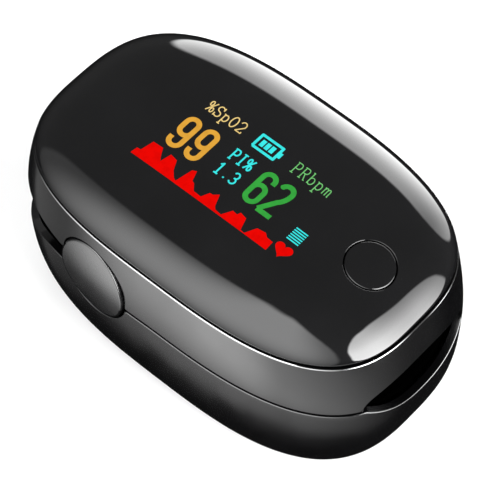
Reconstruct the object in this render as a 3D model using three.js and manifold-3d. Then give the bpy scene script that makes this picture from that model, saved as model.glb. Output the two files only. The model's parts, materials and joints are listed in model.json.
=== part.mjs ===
// A fingertip pulse oximeter: two sprung jaws on one hinge axis, with the display and the power
// button in the upper jaw and two AAA cells in the lower one.
// Millimetres. +Z is up, the finger goes in at -Y, the hinge is towards +Y, and X runs across.
// The origin is the middle of the underside.
import * as THREE from "three";
import { mergeVertices } from "three/addons/utils/BufferGeometryUtils.js";
import Module from "manifold-3d";

const wasm = await Module();
wasm.setup();

// ---------- driving dimensions ----------

// The body's outline is a superellipse whose half sizes change with height.
const WIDEST = { z: 16.65, half: [17.4, 29.23], power: 2.9 };
const COVER_EDGE = { z: 27.26, half: [16.92, 27.47], power: 2.96, sag: 0.89 / 30 ** 2 };
const BASE_SCALE = 0.55; // the flat underside's outline, as a share of the widest one
const CROWN = 4.74; // the cover's rise above its edge
const WALL = 1.25; // the upper jaw and the cover
const BOWL_WALL = 1.0; // the lower jaw and the battery door
const GAP = 0.15; // between pieces that touch in the real object

const HINGE = { y: 9.5, z: 18.1, pinRadius: 1.2, holeRadius: 1.35 };
const CAP = { half: [5.35, 6.2], inner: 15.85, upperGap: 0.5, lowerGap: 0.3 };
const LOWER_EAR = [12.9, 14.2]; // across X
const UPPER_EAR = [14.45, 15.35];
const EAR_RADIUS = 4.2;

// The finger channel is a lens: an arch in the upper jaw over a shallow scoop in the lower one.
const CHANNEL = { half: 9.45, z: 17.5, rise: 3.8, risePower: 2.3, drop: 3.6, stop: 5 };
const PAD = { half: 10.6, back: 6.5, flangeBack: 4.8, inset: WALL + 0.3 };

const CELL = { radius: 5.05, half: 21.95, nub: 0.8, nubRadius: 1.9, x: 5.5, z: 7.4 };
const SPRING_DISC = CELL.half + 2.1; // where the contacts' feet and the walls behind them begin
const CELL_WALL = [CELL.half + 2.7, CELL.half + 3.4];
const DOOR = { half: 10.7, front: -22.1, top: 5.0, gap: 0.25 };
const TONGUE = { half: 11.9, root: 9.9, y: [-9, -1], z: [2.15, 2.8] };

const BUTTON = { y: -19.8, radius: 3.15, gap: 0.25, flange: 3.7 };

const LOWER_PLATE = [12.6, 13.2];
const UPPER_PLATE = [22.3, 23.1];
const BOARD = { half: [13.6, 24], z: [25.4, 26.2] };
const DISPLAY = { half: [8.7, 14.5], z: [26.4, 28.2] };
const SENSOR_Y = -9; // the light goes through the finger here

const LOWER_SCREWS = [[12.4, -13]];
const UPPER_SCREWS = [
  [12.1, -13],
  [11.4, 17],
];

// The jaws' facing edges, seen from the side as [y, z]. Behind the hinge they part, so that the tail
// can be squeezed.
const UPPER_JAW_EDGE = [
  [-32, 17.65],
  [0, 17.3],
  [4, 17.0],
  [9.5, 17.2],
  [13, 18.9],
  [32, 19.2],
];
const LOWER_JAW_EDGE = [
  [-32, 17.35],
  [0, 17.0],
  [4, 16.7],
  [9.5, 16.6],
  [14, 16.3],
  [15.2, 16.1],
  [18.1, 15.5],
  [20.8, 14.5],
  [23.2, 13.0],
  [26, 11.4],
  [32, 10.0],
];

const AROUND = 48; // points round an outline
const ROUND = 20; // points round a small circle

// ---------- solids ----------

// A closed geometry as a solid that can be joined and cut.
function solid(geometry) {
  const bare = geometry.clone();
  bare.deleteAttribute("normal");
  bare.deleteAttribute("uv");
  const merged = mergeVertices(bare, 1e-4);
  return new wasm.Manifold(
    new wasm.Mesh({
      numProp: 3,
      vertProperties: merged.attributes.position.array,
      triVerts: new Uint32Array(merged.index.array),
    }),
  );
}

const join = (first, ...others) => others.reduce((sum, s) => sum.add(s), first);
const cut = (first, ...others) => others.reduce((rest, s) => rest.subtract(s), first);

function geometryOf(made) {
  const mesh = made.getMesh();
  return new THREE.BufferGeometry()
    .setAttribute("position", new THREE.BufferAttribute(mesh.vertProperties, 3))
    .setIndex(new THREE.BufferAttribute(mesh.triVerts, 1));
}

function box([x0, x1], [y0, y1], [z0, z1]) {
  const geometry = new THREE.BoxGeometry(x1 - x0, y1 - y0, z1 - z0);
  return solid(geometry.translate((x0 + x1) / 2, (y0 + y1) / 2, (z0 + z1) / 2));
}

// A round bar from the point `from`, `length` long, along X, Y or Z.
function bar(axis, from, length, radius, sides = ROUND) {
  const geometry = new THREE.CylinderGeometry(radius, radius, length, sides);
  geometry.translate(0, length / 2, 0);
  if (axis === "x") geometry.rotateZ(-Math.PI / 2);
  if (axis === "z") geometry.rotateX(Math.PI / 2);
  return solid(geometry.translate(...from));
}

// A side profile of [y, z] points, extruded along X.
function acrossX(profile, [x0, x1]) {
  const shape = new THREE.Shape(profile.map(([y, z]) => new THREE.Vector2(y, z)));
  const geometry = new THREE.ExtrudeGeometry(shape, { depth: x1 - x0, bevelEnabled: false });
  const [X, Y, Z] = [0, 1, 2].map((i) => new THREE.Vector3().setComponent(i, 1));
  return solid(geometry.applyMatrix4(new THREE.Matrix4().makeBasis(Y, Z, X)).translate(x0, 0, 0));
}

// A front profile of [x, z] points, extruded along Y.
function alongY(profile, [y0, y1]) {
  const shape = new THREE.Shape(profile.map(([x, z]) => new THREE.Vector2(x, z)));
  const geometry = new THREE.ExtrudeGeometry(shape, { depth: y1 - y0, bevelEnabled: false });
  return solid(geometry.rotateX(Math.PI / 2).translate(0, y1, 0));
}

// A closed body through rings of equally many points, each ring anticlockwise as seen from where the
// stack is heading, and fanned shut at both ends.
function loft(rings) {
  const count = rings[0].length;
  const middle = (ring) =>
    ring.reduce((sum, p) => sum.add(p), new THREE.Vector3()).divideScalar(count);
  const points = [middle(rings[0]), ...rings.flat(), middle(rings.at(-1))];
  const at = (level, i) => 1 + level * count + (i % count);
  const faces = [];
  for (let i = 0; i < count; i++) {
    faces.push(0, at(0, i + 1), at(0, i));
    for (let level = 0; level < rings.length - 1; level++) {
      const [a, b] = [at(level, i), at(level, i + 1)];
      const [c, d] = [at(level + 1, i + 1), at(level + 1, i)];
      faces.push(a, b, c, a, c, d);
    }
    faces.push(points.length - 1, at(rings.length - 1, i), at(rings.length - 1, i + 1));
  }
  return solid(new THREE.BufferGeometry().setFromPoints(points).setIndex(faces));
}

// ---------- the body's outline ----------

// One superellipse ring. Its height is a number, or a function of where each point is.
function ring([halfX, halfY], power, height) {
  const points = [];
  for (let i = 0; i < AROUND; i++) {
    const turn = (2 * Math.PI * i) / AROUND;
    const [c, s] = [Math.cos(turn), Math.sin(turn)];
    const reach = (Math.abs(c) ** power + Math.abs(s) ** power) ** (-1 / power);
    const [x, y] = [halfX * c * reach, halfY * s * reach];
    points.push(new THREE.Vector3(x, y, typeof height === "function" ? height(x, y) : height));
  }
  return points;
}

const mix = (from, to, share) => from + (to - from) * share;

// The wall above the widest outline draws in towards the cover's edge.
function upperOutline(z, inset) {
  const share = Math.max(0, (z - WIDEST.z) / (COVER_EDGE.z - WIDEST.z)) ** 1.8;
  const half = WIDEST.half.map((h, i) => mix(h, COVER_EDGE.half[i], share) - inset);
  return [half, mix(WIDEST.power, COVER_EDGE.power, share)];
}

const edgeHeight = (x, y) => COVER_EDGE.z - COVER_EDGE.sag * y * y;

// The upper jaw's body up to the cover's edge, which sags a little towards both ends.
function upperBody(inset, top = edgeHeight) {
  const levels = 5;
  const start = WIDEST.z - 0.4;
  const rings = [];
  for (let i = 0; i <= levels; i++) {
    const share = i / levels;
    const [half, power] = upperOutline(mix(start, COVER_EDGE.z, share), inset);
    rings.push(ring(half, power, (x, y) => mix(start, top(x, y), share)));
  }
  return loft(rings);
}

// The lower jaw's body: a bowl with a flat underside, `inset` thinner all round.
function lowerBody(inset) {
  const levels = 7;
  const rings = [];
  for (let i = 0; i <= levels; i++) {
    const swing = (Math.PI / 2) * (i / levels);
    const scale = mix(BASE_SCALE, 1, Math.sin(swing) ** (2 / 3));
    const down = Math.max(0, Math.cos(swing)) ** (2 / 3);
    const half = WIDEST.half.map((h) => h * scale - inset);
    rings.push(ring(half, WIDEST.power, mix(WIDEST.z, inset, down)));
  }
  const [half, power] = upperOutline(WIDEST.z + 1.2, inset);
  rings.push(ring(half, power, WIDEST.z + 1.2));
  return loft(rings);
}

// The crown's height where a ring `share` of the edge's size passes y, `inset` under the surface.
function crownHeight(share, y, inset = 0) {
  const lift = (1 - share ** 4) ** (1 / 1.6);
  return COVER_EDGE.z + (CROWN - inset) * lift - COVER_EDGE.sag * y * y * (1 - lift);
}

// The crowned top, `inset` under the outer surface, with a straight foot `foot` long below its edge.
function coverBody(inset, foot) {
  const shares = [1, 0.988, 0.96, 0.91, 0.82, 0.68, 0.48, 0.22];
  const half = COVER_EDGE.half.map((h) => h - inset);
  const rings = shares.map((share) =>
    ring(
      half.map((h) => h * share),
      COVER_EDGE.power,
      (x, y) => crownHeight(share, y, inset),
    ),
  );
  if (foot) rings.unshift(ring(half, COVER_EDGE.power, (x, y) => edgeHeight(x, y) - foot));
  return loft(rings);
}

// The finger channel, from `front` to its stop.
function channel(front, back = CHANNEL.stop) {
  const steps = 14;
  const profile = [];
  for (let i = 0; i <= steps; i++) {
    const turn = (Math.PI * i) / steps;
    const x = CHANNEL.half * Math.cos(turn);
    const out = Math.abs(x / CHANNEL.half);
    const up = Math.max(0, 1 - out ** CHANNEL.risePower) ** (1 / CHANNEL.risePower);
    profile.push([x, CHANNEL.z + CHANNEL.rise * up]);
  }
  for (let i = steps - 1; i > 0; i--) {
    const x = CHANNEL.half * Math.cos((Math.PI * i) / steps);
    profile.push([x, CHANNEL.z - CHANNEL.drop * (1 - (x / CHANNEL.half) ** 2)]);
  }
  return alongY(profile, [front, back]);
}

// An upright oval bar through the hinge axis, as the room the cap turns in.
function capRoom(side, gap) {
  const shape = [];
  for (let i = 0; i < 32; i++) {
    const turn = (2 * Math.PI * i) / 32;
    shape.push([
      HINGE.y + (CAP.half[0] + gap) * Math.cos(turn),
      HINGE.z + (CAP.half[1] + gap) * Math.sin(turn),
    ]);
  }
  return acrossX(shape, side > 0 ? [15.62, 20] : [-20, -15.62]);
}

const across = (side, [near, far]) => (side > 0 ? [near, far] : [-far, -near]);
const pinHole = (side) => bar("x", [side > 0 ? 10 : -18, HINGE.y, HINGE.z], 8, HINGE.holeRadius);

// ---------- pieces ----------

const FINISH = {
  shell: { color: 0x141516, roughness: 0.3, metalness: 0 },
  cover: { color: 0x050506, roughness: 0.06, metalness: 0 },
  inner: { color: 0x1b1c1e, roughness: 0.6, metalness: 0 },
  pad: { color: 0x0d0d0e, roughness: 0.8, metalness: 0 },
  board: { color: 0x123a22, roughness: 0.5, metalness: 0 },
  chip: { color: 0x101012, roughness: 0.45, metalness: 0 },
  display: { color: 0x08080a, roughness: 0.15, metalness: 0 },
  window: { color: 0x3a0a0a, roughness: 0.1, metalness: 0 },
  metal: { color: 0xb4b6ba, roughness: 0.3, metalness: 1 },
  cell: { color: 0x2b4a6b, roughness: 0.35, metalness: 0.4 },
  ribbon: { color: 0xa8671e, roughness: 0.4, metalness: 0 },
};

const oximeter = new THREE.Group();

function add(name, finish, made, group = oximeter) {
  const mesh = new THREE.Mesh(geometryOf(made), new THREE.MeshStandardMaterial(FINISH[finish]));
  mesh.name = name;
  group.add(mesh);
}

const SIDES = [
  ["left", -1],
  ["right", 1],
];
const CORNER = 40; // past the body on every side

const underEdge = (edge) => [...edge, [CORNER, -CORNER], [-CORNER, -CORNER]];
const overEdge = (edge) => [[-CORNER, CORNER], [CORNER, CORNER], ...[...edge].reverse()];

// The lower jaw's shell: a bowl with a rear-open hatch for the cells, an ear each side for the hinge
// and posts for the inner frame's screws.
function lowerHousing() {
  const span = [-CORNER, CORNER];
  const hatch = DOOR.half + DOOR.gap;
  const within = lowerBody(BOWL_WALL / 2);
  let made = cut(lowerBody(0), lowerBody(BOWL_WALL), acrossX(overEdge(LOWER_JAW_EDGE), span));
  for (const [, side] of SIDES) {
    const web = box(across(side, [LOWER_EAR[0], 20]), [HINGE.y - 2, HINGE.y + 2], [4, 11.4]);
    const ear = join(
      bar("x", [side > 0 ? LOWER_EAR[0] : -LOWER_EAR[1], HINGE.y, HINGE.z], 1.3, EAR_RADIUS),
      box(across(side, LOWER_EAR), [HINGE.y - 3, HINGE.y + 3], [5, HINGE.z]),
      web.intersect(within),
    );
    made = join(cut(made, capRoom(side, CAP.lowerGap)), cut(ear, pinHole(side)));
    for (const [x, y] of LOWER_SCREWS) {
      const post = join(
        bar("z", [side * x, y, 0], LOWER_PLATE[0] - GAP, 1.35),
        box(across(side, [x, 20]), [y - 0.5, y + 0.5], [4, 11]),
      ).intersect(within);
      made = join(made, cut(post, bar("z", [side * x, y, 7], 10, 0.6, 10)));
    }
  }
  return cut(
    made,
    channel(-CORNER),
    box([-hatch, hatch], [DOOR.front - DOOR.gap, CORNER], [-1, DOOR.top + DOOR.gap]),
  );
}

// The battery door: the underside and the foot of the rear wall, with a tongue each side that runs
// over the shell's floor.
function batteryDoor() {
  const plate = box([-DOOR.half, DOOR.half], [DOOR.front, CORNER], [-1, DOOR.top]);
  let made = cut(lowerBody(0).intersect(plate), lowerBody(BOWL_WALL));
  for (const [, side] of SIDES)
    made = join(
      made,
      box(across(side, [TONGUE.root, DOOR.half]), TONGUE.y, [0.8, TONGUE.z[1]]),
      box(across(side, [TONGUE.root, TONGUE.half]), TONGUE.y, TONGUE.z),
    );
  return made;
}

// The lower inner frame: a plate over the cells, a wall behind each end of them, and a skirt inside
// the tail that keeps the gap between the jaws closed to dust.
function lowerFrame() {
  const band = (half, z) => loft(z.map((level) => ring(half, WIDEST.power, level)));
  const rear = [
    [14.4, LOWER_PLATE[0]],
    [22.3, LOWER_PLATE[0]],
    [22.3, 10.2],
    [CORNER, 10.2],
    [CORNER, 12.8],
    [26.5, 15.7],
    [19, 17.5],
    [14.4, 17.5],
  ];
  const skirt = cut(band([14.2, 26.2], [9, 19]), band([13.1, 25.1], [8, 20]));
  const plate = band([15.4, 27.2], LOWER_PLATE);
  const ears = SIDES.map(([, side]) => box(across(side, [12.7, 20]), [4.5, 14.3], [10, 15]));
  const holes = SIDES.flatMap(([, side]) =>
    LOWER_SCREWS.map(([x, y]) => bar("z", [side * x, y, 10], 5, 0.85, 12)),
  );
  return join(
    cut(
      plate,
      box([-CORNER, CORNER], [25.8, CORNER], [10, 15]),
      cut(box([-20, 20], [14.4, 27], [10, 15]), band([14.2, 26.2], [9, 16])),
      box([-2.2, 2.2], [SENSOR_Y - 2.2, SENSOR_Y + 2.2], [10, 15]),
      box([-2.3, 2.3], [7.8, 9.2], [10, 15]),
      ...ears,
      ...holes,
    ),
    skirt.intersect(acrossX(rear, [-CORNER, CORNER])),
    box([-7, 7], CELL_WALL, [7.4, LOWER_PLATE[1]]),
    box([-7, 7], [-CELL_WALL[1], -CELL_WALL[0]], [7.4, LOWER_PLATE[1]]),
  );
}

// A silicone pad that lines its jaw's half of the channel. Its flange closes the jaw from the channel's
// lip to the shell.
function fingerPad(z, flange, body, window) {
  const block = box([-PAD.half, PAD.half], [-CORNER, PAD.back], z);
  const lip = box([-CORNER, CORNER], [-CORNER, PAD.flangeBack], flange);
  return cut(join(block, lip).intersect(body), channel(-CORNER), window);
}

const windowRoom = (gap, z) =>
  box([-2.5 - gap, 2.5 + gap], [SENSOR_Y - 3 - gap, SENSOR_Y + 3 + gap], z);

// One AAA cell along Y, with its nub at the front or at the back.
function cell(side) {
  const nubFront = side > 0;
  const flat = CELL.half - CELL.nub;
  const start = nubFront ? -flat : -CELL.half;
  const [x, z] = [side * CELL.x, CELL.z];
  return join(
    bar("y", [x, start, z], flat + CELL.half, CELL.radius, 28),
    bar("y", [x, nubFront ? -CELL.half : flat - 0.1, z], CELL.nub + 0.1, CELL.nubRadius, 16),
  );
}

// A round wire along a curve.
function wire(curve, steps, radius) {
  const section = new THREE.Shape();
  for (let i = 0; i < 5; i++) {
    const turn = (2 * Math.PI * i) / 5;
    const point = [radius * Math.cos(turn), radius * Math.sin(turn)];
    i ? section.lineTo(...point) : section.moveTo(...point);
  }
  return solid(new THREE.ExtrudeGeometry(section, { steps, extrudePath: curve }));
}

// A curve given by a function from a share of its length to a point.
function curveOf(pointAt) {
  const curve = new THREE.Curve();
  curve.getPoint = (share, target = new THREE.Vector3()) => target.copy(pointAt(share));
  return curve;
}

// A battery's coil contact on its disc, at the cell's flat end.
function coilContact(side) {
  const out = -side; // the flat end is at the front on the left and at the back on the right
  const turns = 3;
  const helix = curveOf((share) => {
    const turn = 2 * Math.PI * turns * share;
    const radius = mix(2.2, 1.4, share);
    return new THREE.Vector3(
      side * CELL.x + radius * Math.cos(turn),
      -out * mix(SPRING_DISC, CELL.half + 0.4, share),
      CELL.z + radius * Math.sin(turn),
    );
  });
  const thick = 0.35;
  const foot = out > 0 ? -SPRING_DISC - thick : SPRING_DISC;
  const disc = bar("y", [side * CELL.x, foot, CELL.z], thick, 2.4, 16);
  return join(disc, wire(helix, 32, 0.22));
}

// A flat contact at the cell's nub.
function flatContact(side) {
  const atEnd = ([near, far]) => (side > 0 ? [-far, -near] : [near, far]);
  const near = CELL.half + 0.15;
  const x = side * CELL.x;
  return join(
    box([x - 2.6, x + 2.6], atEnd([near, near + 0.35]), [5.2, 10]),
    box([x - 1, x + 1], atEnd([near, SPRING_DISC + 0.4]), [9.5, 10]),
  );
}

// A coil round the hinge pin, with one leg down to the lower frame and one up under the upper one.
function torsionSpring(side) {
  const radius = 1.9;
  const turns = 3.875;
  const legDown = 4;
  const legUp = 3;
  const coil = 2 * Math.PI * turns * radius;
  const total = legDown + coil + legUp;
  const path = curveOf((share) => {
    const run = share * total - legDown;
    const turn = Math.min(Math.max(run, 0), coil) / radius;
    const past = run < 0 ? run : Math.max(0, run - coil);
    const [c, s] = [Math.cos(turn), Math.sin(turn)];
    const x = mix(10.9, 12.5, Math.min(Math.max(run / coil, 0), 1));
    return new THREE.Vector3(
      side * x,
      HINGE.y + radius * c - past * s,
      HINGE.z + radius * s + past * c,
    );
  });
  return wire(path, 66, 0.19);
}

// The upper jaw's shell: a band, open above for the cover and below for the inner frame.
function upperHousing() {
  const below = acrossX(underEdge(UPPER_JAW_EDGE), [-CORNER, CORNER]);
  const lowered = (x, y) => edgeHeight(x, y) - GAP;
  const hollow = loft([
    ...[14, 19, 23, 25.4].map((z) => ring(...upperOutline(z, WALL), z)),
    ring(...upperOutline(COVER_EDGE.z, WALL), 30),
  ]);
  let made = cut(upperBody(0, lowered), hollow, below);
  for (const [, side] of SIDES) {
    const ear = join(
      bar("x", [side > 0 ? UPPER_EAR[0] : -UPPER_EAR[1], HINGE.y, HINGE.z], 1, EAR_RADIUS),
      box(across(side, UPPER_EAR), [HINGE.y - 3, HINGE.y + 3], [HINGE.z, 26]),
      box(across(side, [UPPER_EAR[0], 16.2]), [HINGE.y - 3, HINGE.y + 3], [24.9, 26]),
    );
    made = join(cut(made, capRoom(side, CAP.upperGap)), cut(ear, pinHole(side)));
    for (const [x, y] of UPPER_SCREWS) {
      const z = [UPPER_PLATE[1] + GAP, BOARD.z[0] - GAP];
      const post = join(
        bar("z", [side * x, y, z[0]], z[1] - z[0], 1.8),
        box(across(side, [x, y < 0 ? 15.4 : 14.6]), [y - 0.6, y + 0.6], z),
      );
      made = join(made, cut(post, bar("z", [side * x, y, 20], 10, 0.6, 10)));
    }
  }
  return cut(made, channel(-CORNER));
}

// The upper inner frame: the plate that carries the pad and closes the jaw from below.
function upperFrame() {
  const plate = loft(UPPER_PLATE.map((z) => ring([14.3, 26.4], WIDEST.power, z)));
  const rib = box([-10.4, 10.4], [7, 8], [20.5, UPPER_PLATE[0] + 0.1]);
  const holes = SIDES.flatMap(([, side]) =>
    UPPER_SCREWS.map(([x, y]) => bar("z", [side * x, y, 20], 5, 0.85, 12)),
  );
  const emitter = box([-2.3, 2.3], [SENSOR_Y - 2.8, SENSOR_Y + 2.8], [20, 25]);
  return cut(join(plate, rib), emitter, ...holes);
}

function screw(x, y, head, up) {
  const shank = 3.2;
  return join(
    bar("z", [x, y, up ? head - 0.9 : head], 0.9, 1.25, 16),
    bar("z", [x, y, up ? head - 0.1 : head - shank + 0.1], shank, 0.5, 8),
  );
}

// The cap over the end of the hinge: an oval that stands a little proud of the wall and follows it.
function hingeCap(side) {
  const rises = [
    [1, 0.3],
    [0.97, 0.52],
    [0.9, 0.72],
    [0.75, 0.9],
    [0.5, 1.02],
    [0.22, 1.08],
  ];
  const count = 32;
  const wallAt = (y, z) => {
    const [[halfX, halfY], power] = upperOutline(z, 0);
    return halfX * (1 - Math.abs(y / halfY) ** power) ** (1 / power);
  };
  const oval = (share, place) => {
    const points = [];
    for (let i = 0; i < count; i++) {
      const turn = (2 * Math.PI * i * side) / count;
      const y = HINGE.y + CAP.half[0] * share * Math.cos(turn);
      const z = HINGE.z + CAP.half[1] * share * Math.sin(turn);
      points.push(new THREE.Vector3(side * place(y, z), y, z));
    }
    return points;
  };
  const made = loft([
    oval(1, () => CAP.inner),
    ...rises.map(([share, rise]) => oval(share, (y, z) => wallAt(y, z) + rise)),
  ]);
  return cut(made, bar("x", [side > 0 ? 15 : -17, HINGE.y, HINGE.z], 2, HINGE.holeRadius));
}

// The button and its hole are made upright, then tilted with the cover's surface.
function tilted(geometry) {
  const height = (y) => crownHeight(Math.abs(y / COVER_EDGE.half[1]), y);
  const slope = height(BUTTON.y + 0.5) - height(BUTTON.y - 0.5);
  return solid(geometry.rotateX(Math.atan(slope)).translate(0, BUTTON.y, height(BUTTON.y)));
}

function powerButton() {
  const profile = [
    [0, -3],
    [1.1, -3],
    [1.1, -2.35],
    [BUTTON.flange, -2.35],
    [BUTTON.flange, -1.85],
    [BUTTON.radius, -1.85],
    [BUTTON.radius, -0.12],
    [BUTTON.radius - 0.12, 0],
    [0, 0],
  ].map(([r, z]) => new THREE.Vector2(r, z));
  return tilted(new THREE.LatheGeometry(profile, 28).rotateX(Math.PI / 2));
}

function frontCover() {
  const radius = BUTTON.radius + BUTTON.gap;
  const hole = new THREE.CylinderGeometry(radius, radius, 8, 28).rotateX(Math.PI / 2);
  return cut(coverBody(0, 0), coverBody(WALL, 4), tilted(hole));
}

// A frame of rectangular outline with a rectangular hole.
function gasket([halfX, halfY], width, [z0, z1]) {
  return cut(
    box([-halfX, halfX], [-halfY, halfY], [z0, z1]),
    box([width - halfX, halfX - width], [width - halfY, halfY - width], [z0 - 1, z1 + 1]),
  );
}

// The ribbon from the sensor board, between the cells and up behind the pads by the hinge axis.
function ribbon() {
  const profile = [
    [-2.7, 11.5],
    [8.6, 11.5],
    [8.6, 20.1],
    [8.4, 20.1],
    [8.4, 11.7],
    [-2.7, 11.7],
  ];
  return acrossX(profile, [-1.9, 1.9]);
}

// ---------- assembly ----------

add("lower_housing", "shell", lowerHousing());
add("battery_door", "shell", batteryDoor());
add("lower_inner_frame", "inner", lowerFrame());
add(
  "lower_finger_pad",
  "pad",
  fingerPad(
    [LOWER_PLATE[1] + 0.1, 17.3],
    [16.2, 17.3],
    lowerBody(PAD.inset),
    windowRoom(0.2, [10, 15]),
  ),
);
add("detector_window", "window", windowRoom(0, [13.3, 13.75]));
add("photodiode", "chip", box([-1.6, 1.6], [SENSOR_Y - 1.6, SENSOR_Y + 1.6], [12.0, 13.1]));
add("sensor_board", "board", box([-2, 2], [SENSOR_Y - 4, SENSOR_Y + 6], [11.4, 11.9]));
add("flex_ribbon", "ribbon", ribbon());

for (const [name, side] of SIDES) {
  add(`battery_${name}`, "cell", cell(side));
  add(`coil_contact_${name}`, "metal", coilContact(side));
  add(`flat_contact_${name}`, "metal", flatContact(side));
  const pinStart = side > 0 ? 10.6 : -16.8;
  add(`hinge_pin_${name}`, "metal", bar("x", [pinStart, HINGE.y, HINGE.z], 6.2, HINGE.pinRadius));
  add(`torsion_spring_${name}`, "metal", torsionSpring(side));
  add(`hinge_cap_${name}`, "shell", hingeCap(side));
  for (const [x, y] of LOWER_SCREWS)
    add(`lower_screw_${name}`, "metal", screw(side * x, y, LOWER_PLATE[1] + 0.1, false));
  UPPER_SCREWS.forEach(([x, y], i) =>
    add(
      `upper_screw_${i ? "rear" : "front"}_${name}`,
      "metal",
      screw(side * x, y, UPPER_PLATE[0] - 0.1, true),
    ),
  );
}

add("upper_housing", "shell", upperHousing());
add("front_cover", "cover", frontCover());
add("upper_inner_frame", "inner", upperFrame());
add(
  "upper_finger_pad",
  "pad",
  fingerPad(
    [17.6, UPPER_PLATE[0] - GAP],
    [17.6, 18.7],
    upperBody(PAD.inset),
    windowRoom(0.2, [20, 25]),
  ),
);
add("emitter_window", "window", windowRoom(0, [21.45, 21.95]));
add("led_emitter", "chip", box([-2, 2], [SENSOR_Y - 2.5, SENSOR_Y + 2.5], [22.1, 23.5]));
add("main_board", "board", loft(BOARD.z.map((z) => ring(BOARD.half, COVER_EDGE.power, z))));
add("controller_chip", "chip", box([-3.5, 3.5], [1.5, 8.5], [24.2, 25.25]));
add(
  "display_module",
  "display",
  box([-DISPLAY.half[0], DISPLAY.half[0]], [-DISPLAY.half[1], DISPLAY.half[1]], DISPLAY.z),
);
add("display_gasket", "pad", gasket(DISPLAY.half, 1.4, [DISPLAY.z[1] + GAP, 29.3]));
add(
  "button_switch",
  "chip",
  join(
    box([-2.2, 2.2], [-21.4, -17.0], [BOARD.z[1] + GAP, 27.4]),
    bar("z", [0, -19.2, 27.3], 0.3, 0.9, 16),
  ),
);
add("power_button", "cover", powerButton());

export default oximeter;
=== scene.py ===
"""Looks for the fingertip pulse oximeter: its shells, cover, button, pads and readout, over the CAD frame."""

import json
import math

import bpy
import numpy as np
from mathutils import Matrix, Vector
from mathutils.geometry import delaunay_2d_cdt
from mathutils.kdtree import KDTree


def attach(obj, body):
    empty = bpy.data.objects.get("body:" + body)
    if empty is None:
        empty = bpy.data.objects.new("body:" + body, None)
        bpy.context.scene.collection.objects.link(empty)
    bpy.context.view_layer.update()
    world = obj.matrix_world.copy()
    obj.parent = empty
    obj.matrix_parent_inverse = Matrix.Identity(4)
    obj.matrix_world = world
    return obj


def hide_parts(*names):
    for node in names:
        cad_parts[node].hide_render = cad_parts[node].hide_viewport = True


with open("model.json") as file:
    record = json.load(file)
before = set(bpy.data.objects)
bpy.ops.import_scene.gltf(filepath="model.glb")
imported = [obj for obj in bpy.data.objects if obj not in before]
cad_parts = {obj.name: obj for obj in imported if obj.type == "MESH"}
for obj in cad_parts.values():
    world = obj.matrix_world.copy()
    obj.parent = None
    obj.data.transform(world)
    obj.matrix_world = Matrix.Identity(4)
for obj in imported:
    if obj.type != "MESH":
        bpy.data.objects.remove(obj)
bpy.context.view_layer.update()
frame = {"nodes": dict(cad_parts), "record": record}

MM = 0.001

# ---- driving dimensions, in millimetres

WIDEST_Z, WIDEST, WIDEST_POWER = 16.65, (17.4, 29.23), 2.9
EDGE_Z, EDGE, EDGE_POWER, EDGE_SAG = 27.26, (16.92, 27.47), 2.96, 0.89 / 30**2
BASE_SCALE = 0.55
CROWN = 4.74
BOWL_POWER = 3.2
WALL = 1.25
BOWL_WALL = 1.0
COVER_GAP = 0.42
COVER_TONGUE = 0.38
RIM_ROUND = 0.2

HINGE_Y, HINGE_Z = 9.5, 18.1
JAW_SWING = math.radians(20)
CAP_HALF = (5.35, 6.2)
CAP_GAP_UPPER, CAP_GAP_LOWER, CAP_CLEAR = 0.19, 0.3, 0.07
CAP_INNER, CAP_PILLOW, CAP_RIM = 15.85, 0.44, 0.12
CAP_FOLLOW = 0.85  # how closely a cap's face follows the wall round it: 0 is flat up and down, 1 is the wall

CHANNEL_HALF, CHANNEL_Z = 9.45, 17.5
ARCH_RISE, ARCH_POWER, SCOOP_DROP, CHANNEL_STOP = 3.8, 2.3, 3.6, 5.0
UPPER_EDGE = ((-32, 17.74), (0, 17.39), (4, 17.09), (9.5, 17.2), (13, 18.9), (32, 19.2))
LOWER_EDGE = (
    (-32, 17.24), (0, 16.89), (4, 16.59), (9.5, 16.55), (14, 16.3), (15.2, 16.1),
    (18.1, 15.5), (20.8, 14.5), (23.2, 13.0), (26, 11.4), (32, 10.0),
)

MOUTH_CORNER_Y = -28.5

DOOR_HALF, DOOR_FRONT, DOOR_TOP, DOOR_GAP, DOOR_CORNER = 10.7, -22.1, 5.0, 0.25, 1.6
GRIP_Y, GRIP_HOLLOW, GRIP_RIB, GRIP_PITCH = (9.0, 19.0), 0.35, 0.3, 2.2
BUTTON_Y, BUTTON_RADIUS, BUTTON_GAP, BUTTON_RIM = -19.8, 3.15, 0.17, 0.16
WINDOW_Y, WINDOW_HALF, WINDOW_CORNER = -9.0, (2.7, 3.2), 0.6
PAD_INSET, PAD_FRONT_INSET, PAD_HALF, PAD_BACK, FLANGE_BACK = WALL + 0.3, WALL + 0.4, 10.6, 6.5, 4.8
PAD_TURN, PAD_STEP, PAD_SPACING, PAD_EASE = 12.0, 0.3, 0.45, 0.25

SEAM_STEP = 0.35
SPACING = 0.6
HALF_TURN = math.pi / 2
ROUND_ANGLES = np.radians([0, 18, 36, 54, 72, 90])


# ---- surfaces
# A surface takes points of a flat domain, as an array of rows, and gives points in space.


def mix(a, b, t):
    return a + (b - a) * t


def smoothstep(t):
    t = np.clip(t, 0, 1)
    return t * t * (3 - 2 * t)


def size_of(x, y, power):
    """The rounded rectangle through x, y, as a share of the one through (1, 0)."""
    return (np.abs(x) ** power + np.abs(y) ** power) ** (1 / power)


def reach(c, s, power):
    """How far the rounded rectangle of size 1 reaches in the direction c, s."""
    return (np.abs(c) ** power + np.abs(s) ** power) ** (-1 / power)


def edge_height(y):
    return EDGE_Z - EDGE_SAG * y * y


def taper(level):
    """How far the wall has gone over from its widest outline to its top edge's, from 0 to 1."""
    return np.clip((level - WIDEST_Z) / (EDGE_Z - WIDEST_Z), 0, None) ** 1.8


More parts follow.
